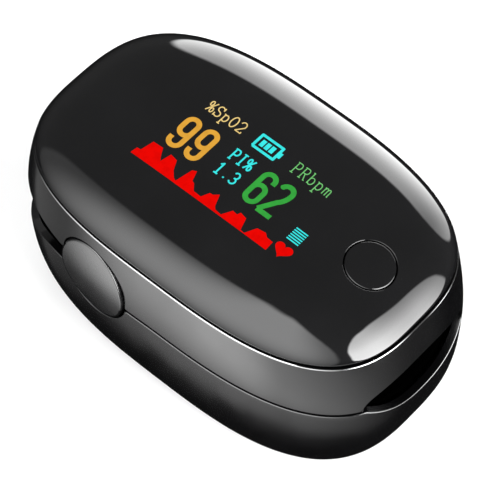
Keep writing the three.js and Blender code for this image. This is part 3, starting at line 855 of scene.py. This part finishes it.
LETTERS = {
    "%": [arc(0.24, 0.76, 0.2, 0.22, 0, 360), arc(0.76, 0.24, 0.2, 0.22, 0, 360), path((0.92, 1), (0.08, 0))],
    "S": [path((0.9, 0.74), (0.9, 1.0), (0.84, 0.9), arc(0.48, 0.76, 0.36, 0.24, 50, 250),
               arc(0.48, 0.25, 0.4, 0.25, 75, -130), (0.1, 0.1), (0.08, 0.0), (0.08, 0.26))],
    "p": [path((0.02, 0.62), (0.2, 0.62), (0.2, -0.34)), path((0.02, -0.34), (0.42, -0.34)),
          path((0.2, 0.5), arc(0.5, 0.31, 0.36, 0.31, 130, -130), (0.2, 0.12))],
    "O": [arc(0.5, 0.5, 0.42, 0.5, 0, 360, 22)],
    "2": [path(arc(0.5, 0.7, 0.4, 0.3, 165, -25), (0.1, 0.0), (0.92, 0.0), (0.92, 0.14))],
    "P": [path((0.22, 0), (0.22, 1)), path((0.04, 0), (0.44, 0)),
          path((0.04, 1), (0.6, 1), arc(0.6, 0.74, 0.3, 0.26, 90, -90), (0.22, 0.48))],
    "I": [path((0.5, 0), (0.5, 1)), path((0.22, 0), (0.78, 0)), path((0.22, 1), (0.78, 1))],
    "R": [path((0.18, 0), (0.18, 1)), path((0.02, 0), (0.38, 0)),
          path((0.02, 1), (0.56, 1), arc(0.56, 0.76, 0.28, 0.24, 90, -90), (0.18, 0.52)),
          path((0.5, 0.52), (0.84, 0), (0.98, 0))],
    "b": [path((0.02, 1), (0.2, 1), (0.2, 0)),
          path((0.2, 0.5), arc(0.52, 0.31, 0.36, 0.31, 140, -140), (0.2, 0.1))],
    "m": [path((0.0, 0.6), (0.1, 0.6), (0.1, 0)),
          path((0.1, 0.46), arc(0.32, 0.44, 0.18, 0.18, 160, 0, 8), (0.5, 0)),
          path((0.5, 0.46), arc(0.7, 0.44, 0.19, 0.18, 160, 0, 8), (0.89, 0), (1.0, 0))],
    "1": [path((0.18, 0.8), (0.5, 1), (0.5, 0)), path((0.2, 0), (0.8, 0))],
    ".": [path((0.38, 0.06), (0.6, 0.06))],
    "3": [path(arc(0.48, 0.74, 0.38, 0.26, 155, -70), (0.4, 0.5)),
          path((0.5, 0.5), arc(0.48, 0.26, 0.42, 0.26, 75, -155))],
}


def write(text, u, v, width, height, pitch, thick):
    shapes = []
    for i, letter in enumerate(text):
        for line in LETTERS[letter]:
            shapes += stroke(line * np.array([width, height]) + np.array([u + i * pitch, v]), thick)
    return shapes


def big(lines, u, v, thick, flip=None):
    shapes = []
    for line in lines:
        points = np.array(flip) - line if flip else line
        shapes += stroke(points + np.array([u, v]), thick)
    return shapes


def bars(u0, u1, v0, v1, count, thick):
    return [s for v in np.linspace(v0, v1, count) for s in stroke(path((u0, v), (u1, v)), thick)]


def block(u0, u1, v0, v1):
    return [[(u0, v0), (u1, v0), (u1, v1), (u0, v1)]]


def plate(name, shapes):
    """Shapes drawn on the crown as one thin closed plate."""
    points, faces = [], []
    for shape in shapes:
        shape = [tuple(map(float, p)) for p in shape]
        if area(np.array(shape)) < 0:
            shape = shape[::-1]
        faces.append(list(range(len(points), len(points) + len(shape))))
        points += [Vector(p) for p in shape]
    (u0, v0), (u1, v1) = np.array(points).min(axis=0), np.array(points).max(axis=0)
    points += [Vector(p) for p in lattice((u0, u1), (v0, v1), 0.45, 0.45).tolist()]
    made = delaunay_2d_cdt(points, [], faces, 1, 1e-5)
    flat = np.array([tuple(p) for p in made[0]])
    triangles = [list(t) for t, drawn in zip(made[2], made[5]) if drawn]
    domain = crown_domain(flat[:, 1], -flat[:, 0])
    on, n = crown(domain), normals(crown, domain, 1)
    top, bottom = on + n * LIFT, on - n * (DEPTH - LIFT)
    half = len(flat)
    ways = {(a, b): True for t in triangles for a, b in zip(t, t[1:] + t[:1])}
    sides = [(a, b) for a, b in ways if (b, a) not in ways]
    t0 = triangles[0]
    turned = np.dot(np.cross(top[t0[1]] - top[t0[0]], top[t0[2]] - top[t0[0]]), n[t0[0]]) < 0
    skin = [t[::-1] if turned else t for t in triangles]
    under = [[i + half for i in t[::-1]] for t in skin]
    walls = [[a, b, b + half, a + half] if turned else [b, a, a + half, b + half] for a, b in sides]
    faces = skin + under + walls
    used = sorted({i for f in faces for i in f})
    number = {i: k for k, i in enumerate(used)}
    vertices = np.vstack([top, bottom])[used]
    return new_object(name, vertices, [[number[i] for i in f] for f in faces], sharp=30)


# the pulse curve's outline over its base, from left to right
WAVE = (
    (-12, -6.85), (-11.85, -6), (-11.3, -5.95), (-10.9, -4.1), (-9.4, -4.05), (-8.8, -5.1), (-8.35, -5.7),
    (-8, -4.15), (-6.9, -4.35), (-6.25, -5.65), (-5.45, -6.5), (-5.05, -6.65),
    (-4.55, -4.25), (-4, -3.95), (-3.5, -5.35), (-3.1, -5.5), (-2.4, -6.35), (-1.25, -6.4),
    (-0.75, -5.3), (-0.3, -5.25), (0.3, -4.7), (0.95, -6.3), (1.3, -6.65), (2.25, -6.75),
    (3, -5.4), (3.7, -5.5), (3.9, -5), (4.9, -5.2), (5.45, -6.85), (6.05, -6.9),
    (6.8, -5.4), (8, -5.2), (8.5, -5.6), (9.45, -5.65), (9.5, -6.9),
)
WAVE_BASE = -7.0


def heart(u, v, size):
    t = np.linspace(0, 2 * math.pi, 48, endpoint=False)
    x = 16 * np.sin(t) ** 3
    y = 13 * np.cos(t) - 5 * np.cos(2 * t) - 2 * np.cos(3 * t) - np.cos(4 * t)
    return [np.column_stack([u + x * size / 32, v + (y + 2.5) * size / 32 * 0.92])]


def battery_icon(u0, u1, v0, v1, thick):
    t = thick / 2
    corners = ((u0 + t, v0 + t), (u1 - t, v0 + t), (u1 - t, v1 - t), (u0 + t, v1 - t), (u0 + t, v0 + t))
    shapes = stroke(path(*corners), thick)
    shapes += block(u1 - 0.02, u1 + 0.34, mix(v0, v1, 0.3), mix(v0, v1, 0.66))
    for k in range(3):
        shapes += block(u0 + 0.72 + 0.75 * k, u0 + 1.28 + 0.75 * k, v0 + 0.7, v1 - 0.7)
    return shapes


DIGIT_W, DIGIT_H, DIGIT_THICK = 1.68, 4.75, 0.68
nine, two = big_nine(DIGIT_W, DIGIT_H), big_two(DIGIT_W, DIGIT_H + 0.2)
readouts = {
    "readout_oxygen": big(nine, -9.9, -3.03, DIGIT_THICK) + big(nine, -7.0, -3.03, DIGIT_THICK),
    "readout_oxygen_label": write("%SpO2", -9.6, 3.7, 0.98, 1.68, 1.2, 0.15),
    "readout_pulse": big(nine, 2.45, -3.12, DIGIT_THICK, flip=(DIGIT_W, DIGIT_H))
    + big(two, 5.2, -3.27, DIGIT_THICK),
    "readout_pulse_label": write("PRbpm", 4.2, 3.48, 1.0, 1.75, 1.22, 0.13),
    "readout_index": write("PI%", -2.7, 0.05, 0.98, 1.72, 1.16, 0.21)
    + write("1.3", -2.75, -2.65, 0.98, 1.75, 1.16, 0.21)
    + battery_icon(-1.82, 1.8, 3.2, 5.65, 0.36)
    + bars(10.2, 12.0, -4.02, -2.22, 6, 0.17),
    "readout_wave": [[(a[0], WAVE_BASE), (b[0], WAVE_BASE), b, a] for a, b in zip(WAVE, WAVE[1:])]
    + heart(11.05, -5.87, 2.45),
}
for name, shapes in readouts.items():
    pieces[name] = plate(name, shapes)


# ---- materials


def ranged(tree, value, start, end, smooth=True):
    """A value turned from one range into another: `start` and `end` each hold a value and what it becomes."""
    node = tree.nodes.new("ShaderNodeMapRange")
    for end_name, pair in zip(("Min", "Max"), sorted((start, end))):
        for way, at in zip(("From", "To"), pair):
            node.inputs[f"{way} {end_name}"].default_value = at
    if smooth:
        node.interpolation_type = "SMOOTHSTEP"
    tree.links.new(value, node.inputs["Value"])
    return node.outputs["Result"]


def drift(tree, value, low, high):
    """A colour for each value: `low` is a value and its colour, and so is `high`."""
    ramp = tree.nodes.new("ShaderNodeValToRGB")
    for stop, (place, colour) in zip(ramp.color_ramp.elements, (low, high)):
        stop.position, stop.color = place, (*colour, 1)
    tree.links.new(value, ramp.inputs["Fac"])
    return ramp.outputs["Color"]


def blank(name, stretch=None):
    """A new material, its shader's inputs, and a source of noise of a size in metres and a detail."""
    made = bpy.data.materials.new(name)
    made.use_nodes = True
    tree = made.node_tree
    source = tree.nodes.new("ShaderNodeTexCoord").outputs["Object"]
    if stretch:
        mapping = tree.nodes.new("ShaderNodeMapping")
        mapping.inputs["Scale"].default_value = stretch
        tree.links.new(source, mapping.inputs["Vector"])
        source = mapping.outputs["Vector"]

    def noise(size, detail):
        node = tree.nodes.new("ShaderNodeTexNoise")
        node.inputs["Scale"].default_value, node.inputs["Detail"].default_value = 1 / size, detail
        tree.links.new(source, node.inputs["Vector"])
        return node.outputs["Fac"]

    return made, tree.nodes["Principled BSDF"].inputs, noise


def material(name, colour, worn, rough, grain, bump, metallic=0.0, ior=1.5, coat=0.0, stretch=None):
    """A procedural finish: `colour` drifts to `worn`, roughness stays within `rough`, and a grain in metres
    gives the surface its relief of `bump` metres."""
    made, inputs, noise = blank(name, stretch)
    tree = made.node_tree
    inputs["Metallic"].default_value, inputs["IOR"].default_value = metallic, ior
    inputs["Coat Weight"].default_value, inputs["Coat Roughness"].default_value = coat, 0.03
    tree.links.new(drift(tree, noise(0.011, 4.0), (0.35, colour), (0.68, worn)), inputs["Base Color"])
    roughness = ranged(tree, noise(0.004, 6.0), (0.35, rough[0]), (0.65, rough[1]), smooth=False)
    tree.links.new(roughness, inputs["Roughness"])
    if bump:
        relief = tree.nodes.new("ShaderNodeBump")
        relief.inputs["Strength"].default_value, relief.inputs["Distance"].default_value = 1.0, bump
        tree.links.new(noise(grain, 3.0), relief.inputs["Height"])
        tree.links.new(relief.outputs["Normal"], inputs["Normal"])
    return made


def glow(name, colour):
    """Lit display segments: an even light with a faint pixel grain."""
    made, inputs, noise = blank(name)
    inputs["Base Color"].default_value = (0, 0, 0, 1)
    inputs["Roughness"].default_value, inputs["IOR"].default_value = 0.6, 1.01
    inputs["Specular IOR Level"].default_value = 0.0
    dim = tuple(c * 0.86 for c in colour)
    lit = drift(made.node_tree, noise(0.0009, 2.0), (0.3, dim), (0.6, colour))
    made.node_tree.links.new(lit, inputs["Emission Color"])
    inputs["Emission Strength"].default_value = 1.0
    return made


def shade(*levels):
    """sRGB levels from 0 to 255 as a linear colour."""
    return tuple(((v / 255 + 0.055) / 1.055) ** 2.4 if v > 10 else v / 255 / 12.92 for v in levels)


BLACK = ((0.0010, 0.0010, 0.0011), (0.0018, 0.0018, 0.0020))
GLOSS = ((0.0030, 0.0030, 0.0032), (0.0042, 0.0042, 0.0045))
FINISHES = {key: material(name, *values, **others) for key, name, values, others in (
    # slot, material; colour, worn colour, roughness, grain, relief
    ("shell", "shell_satin", (*BLACK, (0.14, 0.18), 0.00022, 4e-7), {}),
    # painted highlight: a copy of the shell finish that reflects more strongly, for the seam's rounded edge
    ("shell_rounding_painted_highlight", "shell_rounding_painted_highlight", (*BLACK, (0.15, 0.19), 0.0003, 0), {"ior": 1.95}),
    # painted highlight: a bright metal strip on the top rim, which mirrors the lamps as a white line and is
    # painted dark towards its ends
    ("shell_edge", "shell_edge_painted_highlight",
     ((0.42, 0.42, 0.425), (0.52, 0.52, 0.525), (0.16, 0.22), 0.0004, 0), {"metallic": 1.0}),
    ("cover", "cover_gloss", (*GLOSS, (0.03, 0.045), 0.003, 0), {"ior": 1.6}),
    ("button", "button_gloss", (*GLOSS, (0.035, 0.05), 0.003, 0), {"ior": 1.6}),
    ("hinge_cap", "cap_satin",
     ((0.0020, 0.0020, 0.0022), (0.0034, 0.0034, 0.0037), (0.24, 0.28), 0.00022, 4e-7), {"ior": 1.85}),
    # painted shadow: a near-black matt band on the lower and rear side of each cap's rim
    ("cap_rim", "cap_rim_painted_shadow",
     ((0.0006, 0.0006, 0.0007), (0.0012, 0.0012, 0.0013), (0.6, 0.7), 0.0003, 0), {"ior": 1.1}),
    ("door", "door_satin", ((0.004, 0.004, 0.0043), (0.007, 0.007, 0.0075), (0.34, 0.42), 0.0002, 5e-6), {}),
    ("inner_frame", "frame_matt",
     ((0.004, 0.004, 0.0042), (0.007, 0.007, 0.0074), (0.5, 0.6), 0.0003, 8e-6), {}),
    ("finger_pad", "pad_silicone",
     ((0.0035, 0.0035, 0.0037), (0.006, 0.006, 0.0063), (0.55, 0.66), 0.00035, 1e-5), {"ior": 1.3}),
    ("gasket", "gasket_foam", ((0.008, 0.008, 0.008), (0.02, 0.02, 0.02), (0.8, 0.95), 0.0003, 6e-5), {}),
    ("circuit_board", "board_laminate",
     ((0.006, 0.055, 0.022), (0.01, 0.085, 0.034), (0.35, 0.5), 0.0008, 2e-5), {}),
    ("component", "component_epoxy",
     ((0.007, 0.007, 0.008), (0.016, 0.016, 0.017), (0.4, 0.52), 0.0002, 6e-6), {}),
    ("window", "window_resin",
     ((0.05, 0.004, 0.004), (0.08, 0.008, 0.007), (0.06, 0.12), 0.001, 2e-6), {"ior": 1.55}),
    ("display", "display_glass",
     ((0.003, 0.003, 0.004), (0.006, 0.006, 0.008), (0.05, 0.09), 0.002, 0), {"coat": 0.4}),
    ("metal", "spring_steel", ((0.42, 0.42, 0.43), (0.58, 0.58, 0.59), (0.22, 0.36), 0.0004, 3e-6),
     {"metallic": 1.0, "stretch": (1, 6, 1)}),
    ("cell", "cell_wrapper",
     ((0.012, 0.035, 0.07), (0.02, 0.055, 0.11), (0.28, 0.38), 0.0015, 6e-6), {"coat": 0.3}),
    ("ribbon", "ribbon_polyimide",
     ((0.32, 0.11, 0.012), (0.42, 0.16, 0.02), (0.3, 0.42), 0.0006, 4e-6), {"stretch": (8, 1, 1)}),
)}


def paint_shade_along(made, axis, full, none, dark=None, mirrored=False, specular=(0.0, 0.5)):
    """Paints shade into a finish, darkening it from `full` to `none`, in metres along an axis, or off its
    middle plane if
    mirrored: its colour down to `dark`, or else the strength of its reflections."""
    tree = made.node_tree
    inputs = tree.nodes["Principled BSDF"].inputs
    place, split = tree.nodes.new("ShaderNodeTexCoord"), tree.nodes.new("ShaderNodeSeparateXYZ")
    tree.links.new(place.outputs["Object"], split.inputs[0])
    along = split.outputs[axis]
    if mirrored:
        away = tree.nodes.new("ShaderNodeMath")
        away.operation = "ABSOLUTE"
        tree.links.new(along, away.inputs[0])
        along = away.outputs[0]
    if dark is None:
        tree.links.new(
            ranged(tree, along, (none, specular[0]), (full, specular[1])), inputs["Specular IOR Level"]
        )
        return
    blend = tree.nodes.new("ShaderNodeMix")
    blend.data_type = "RGBA"
    factor, low, high = blend.inputs[0], blend.inputs[6], blend.inputs[7]
    low.default_value = (*dark, 1)
    tree.links.new(ranged(tree, along, (none, 0.0), (full, 1.0)), factor)
    tree.links.new(inputs["Base Color"].links[0].from_socket, high)
    tree.links.new(blend.outputs[2], inputs["Base Color"])


# Painted shade: the near-black that the top rim's metal strip fades to towards the rear and the middle of
# both ends, and the near-black that the frame and pads fade to at the front of the mouth.
EDGE_PAINTED_SHADE, MOUTH_PAINTED_SHADE = (0.01, 0.01, 0.01), (0.0002, 0.0002, 0.0002)
paint_shade_along(FINISHES["shell_edge"], "X", full=0.0065, none=0.001, dark=EDGE_PAINTED_SHADE, mirrored=True)
paint_shade_along(FINISHES["shell_edge"], "Y", full=0.006, none=0.036, dark=EDGE_PAINTED_SHADE)
# Painted highlight: the caps reflect more towards their top and less towards their bottom, so they read
# lighter at the top.
paint_shade_along(FINISHES["hinge_cap"], "Z", full=0.0265, none=0.0163, specular=(0.2, 0.8))
# Painted shade in the mouth: the inner frame and the pads lose their reflections and darken to near black
# towards the front.
for name in ("inner_frame", "finger_pad"):
    paint_shade_along(FINISHES[name], "Y", full=-0.008, none=-0.022)
    paint_shade_along(FINISHES[name], "Y", full=-0.008, none=-0.022, dark=MOUTH_PAINTED_SHADE)

for row in frame["record"]["materials"]:
    for node in row.get("nodes", []):
        frame["nodes"][node].data.materials.clear()
        frame["nodes"][node].data.materials.append(FINISHES[row["slot"]])

LAYOUT = (
    # piece, body, slot, the CAD node it stands for; a slot's finish has the slot's name
    ("upper_shell", "upper_jaw", "shell", "upper_housing"),
    ("lower_shell", "lower_jaw", "shell", "lower_housing"),
    ("battery_lid", "battery_door", "door", "battery_door"),
    ("cover_shell", "upper_jaw", "cover", "front_cover"),
    ("button_cap", "power_button", "button", "power_button"),
    ("cap_left", "lower_jaw", "hinge_cap", "hinge_cap_left"),
    ("cap_right", "lower_jaw", "hinge_cap", "hinge_cap_right"),
    ("lower_pad", "lower_jaw", "finger_pad", "lower_finger_pad"),
    ("upper_pad", "upper_jaw", "finger_pad", "upper_finger_pad"),
)
for name, rides_on, slot, stands_for in LAYOUT:
    pieces[name].data.materials.append(FINISHES[slot])
    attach(pieces[name], rides_on)
    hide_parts(stands_for)

LIT = (
    ("readout_oxygen", "glow_orange", (232, 170, 62)),
    ("readout_oxygen_label", "glow_cream", (246, 214, 138)),
    ("readout_pulse", "glow_green", (58, 170, 66)),
    ("readout_pulse_label", "glow_pale_green", (120, 205, 120)),
    ("readout_index", "glow_cyan", (62, 242, 240)),
    ("readout_wave", "glow_red", (238, 8, 4)),
)
for name, finish, levels in LIT:
    pieces[name].data.materials.append(glow(finish, shade(*levels)))
    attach(pieces[name], "upper_jaw")

# the caps' second finish: the painted shadow on the lower and rear side of the rim
for name in ("cap_left", "cap_right"):
    pieces[name].data.materials.append(FINISHES["cap_rim"])


def second_finish(piece, finish, chosen):
    """Gives a second finish to the faces that `chosen` picks by their middle, in millimetres, and normal."""
    mesh = pieces[piece].data
    mesh.materials.append(FINISHES[finish])
    for polygon in mesh.polygons:
        if chosen(polygon.center / MM, polygon.normal):
            polygon.material_index = 1


def on_top_rim(centre, normal):
    """The polished metal strip along the top of the upper shell, which carries a painted highlight line."""
    return centre.z > edge_height(centre.y) - COVER_GAP - RIM_ROUND and 0.12 < normal.z < 0.8


def on_seam_rounding(centre, normal):
    """The lower shell's rounded edge along the seam and the mouth, which catches the light, with a more
    strongly reflecting finish as a painted highlight.
    """
    outwards = normal.x * centre.x / WIDEST[0] + normal.y * centre.y / WIDEST[1]
    off_cap = math.hypot((centre.y - HINGE_Y) / CAP_HALF[0], (centre.z - HINGE_Z) / CAP_HALF[1])
    return 0.1 < normal.z < 0.9 and outwards > 0 and centre.z > 9 and off_cap > 1.1


second_finish("upper_shell", "shell_edge", on_top_rim)
second_finish("lower_shell", "shell_rounding_painted_highlight", on_seam_rounding)


# ---- camera, floor and light

EYE = np.array([-147.01, -124.36, 299.62])
AHEAD, RIGHT, UP = (np.array(v) for v in (
    (0.43206, 0.36550, -0.82446), (0.65839, -0.75259, 0.01139), (0.61632, 0.54774, 0.56581),
))
AIM_RIGHT, AIM_DOWN = 0.002654, 0.0072  # how far the aim goes off straight ahead
LENS, SENSOR = 197.9, 36.0

camera = bpy.data.objects.new("camera", bpy.data.cameras.new("camera"))
bpy.context.scene.collection.objects.link(camera)
bpy.context.scene.camera = camera
camera.data.lens, camera.data.sensor_width = LENS, SENSOR
camera.data.clip_start, camera.data.clip_end = 0.01, 20.0
aim = Vector(AHEAD + RIGHT * AIM_RIGHT - UP * AIM_DOWN).normalized()
side = aim.cross(Vector(UP)).normalized()
turned_to = Matrix((side, side.cross(aim), -aim)).transposed().to_4x4()
camera.matrix_world = Matrix.Translation(Vector(EYE * MM)) @ turned_to


def stage_paper(obj, name, emission):
    """Stages a piece of the surround, in matt pale paper."""
    pale = (0.86, 0.86, 0.86)
    made = material(name, pale, tuple(c * 0.99 for c in pale), (0.85, 0.9), 0.02, 0)
    inputs = made.node_tree.nodes["Principled BSDF"].inputs
    inputs["Specular IOR Level"].default_value = 0.0
    if emission:
        inputs["Emission Color"].default_value = (1, 1, 1, 1)
        inputs["Emission Strength"].default_value = emission
    obj.data.materials.append(made)
    obj.visible_glossy = False


FLOOR_SIZE, DOME_RADIUS, DOME_DROP = 3000, 2600, 1
corners = [(x * FLOOR_SIZE, y * FLOOR_SIZE, 0) for x, y in ((-1, -1), (1, -1), (1, 1), (-1, 1))]
floor = new_object("floor", corners, [[0, 1, 2, 3]])
stage_paper(floor, "floor_paint", 0)
turn = np.linspace(0, 2 * math.pi, 64, endpoint=False)
around = np.column_stack([np.cos(turn), np.sin(turn), np.zeros(64)])
up = np.array([0, 0, 1])
backdrop = ringed("backdrop", [
    DOME_RADIUS * (math.cos(a) * around + math.sin(a) * up) - DOME_DROP * up
    for a in np.radians([0, 15, 30, 45, 60, 75, 88])
])
stage_paper(backdrop, "backdrop_paint", 0.95)
for ray in ("diffuse", "transmission", "volume_scatter", "shadow"):
    setattr(backdrop, f"visible_{ray}", False)

world = bpy.data.worlds.new("studio")
bpy.context.scene.world = world
world.use_nodes = True
tree, sky = world.node_tree, world.node_tree.nodes["Background"]


def op(kind, *values):
    """A value worked out from two or more, from left to right, or from one."""
    total = values[0]
    for value in values[1:] or (None,):
        node = tree.nodes.new("ShaderNodeMath")
        node.operation = kind
        for socket, v in zip(node.inputs, (total, value)):
            if isinstance(v, (int, float)):
                socket.default_value = v
            elif v is not None:
                tree.links.new(v, socket)
        total = node.outputs[0]
    return total


def fade(value, start, end, dim=0.0, full=1.0):
    """`dim` as far as start and `full` from end on, smoothly, whichever of the two is the greater."""
    return ranged(tree, value, (start, dim), (end, full))


where, split = tree.nodes.new("ShaderNodeTexCoord"), tree.nodes.new("ShaderNodeSeparateXYZ")
tree.links.new(where.outputs["Generated"], split.inputs[0])
dx, dy, dz = split.outputs
# which way a ray goes, in degrees: its turn about Z, where 0 is the front and 90 the right, and its height
turned = op("MULTIPLY", op("ARCTAN2", dx, op("MULTIPLY", dy, -1.0)), 180 / math.pi)
height = op("MULTIPLY", op("ARCSINE", dz), 180 / math.pi)


def softbox(turns, heights, corner, edge):
    """A lit panel between two turns and two heights, with rounded corners and a soft edge."""
    def past(value, ends):
        middle, half = sum(ends) / 2, (ends[1] - ends[0]) / 2
        return op("SUBTRACT", op("ABSOLUTE", op("SUBTRACT", value, middle)), half - corner)
    ax, ay = past(turned, turns), past(height, heights)
    px, py = op("MAXIMUM", ax, 0.0), op("MAXIMUM", ay, 0.0)
    far = op("SQRT", op("ADD", op("MULTIPLY", px, px), op("MULTIPLY", py, py)))
    distance = op("SUBTRACT", op("ADD", far, op("MINIMUM", op("MAXIMUM", ax, ay), 0.0)), corner)
    return fade(distance, edge, -edge)


right_panel = op(
    "MULTIPLY", softbox((72, 134), (-13, 33), 22, 1.5), fade(height, 33, 3, 0.6, 1.0),
    op("ADD", fade(turned, 80, 108, 3.2, 7.0), fade(turned, 111, 124, 0.0, -1.5)),
)
front_panel = op(
    "MULTIPLY", softbox((-20, 45), (-24, 52), 28, 1.5), fade(turned, 50, 2, 3.3, 14.1),
    fade(height, 52, 14, 0.6, 1.0),
)
left_panel = op(
    "MULTIPLY", softbox((-166, -33), (-42, 76), 50, 3.0), 3.9, fade(height, -60, 40),
    fade(turned, -160, -105, 0.1, 1.0), fade(turned, -25, -75, 0.3, 1.0),
)
# a low glow on the left and the front, which only the side walls mirror
lower_end = op("ADD", height, fade(turned, -115, -70, -0.7, 2.2))
upper_end = op("ADD", height, fade(turned, -35, -75, 0.0, 9.0))
wall_glow = op(
    "MULTIPLY", fade(lower_end, -63, -50), fade(upper_end, -18, -36), fade(turned, -146, -114, 0.07, 1.0),
    op("ADD", fade(turned, 55, -105, 0.0, 0.42), fade(turned, -84, -108, 0.0, 0.3)), 5.6,
)
ambient = fade(height, -30, 10, 0.012, 0.162)
total = op("ADD", ambient, right_panel, front_panel, left_panel, wall_glow)
tree.links.new(total, sky.inputs["Strength"])
sky.inputs["Color"].default_value = (1, 1, 1, 1)
bpy.context.scene.view_settings.view_transform = "Standard"
bpy.context.scene.view_settings.look = "None"
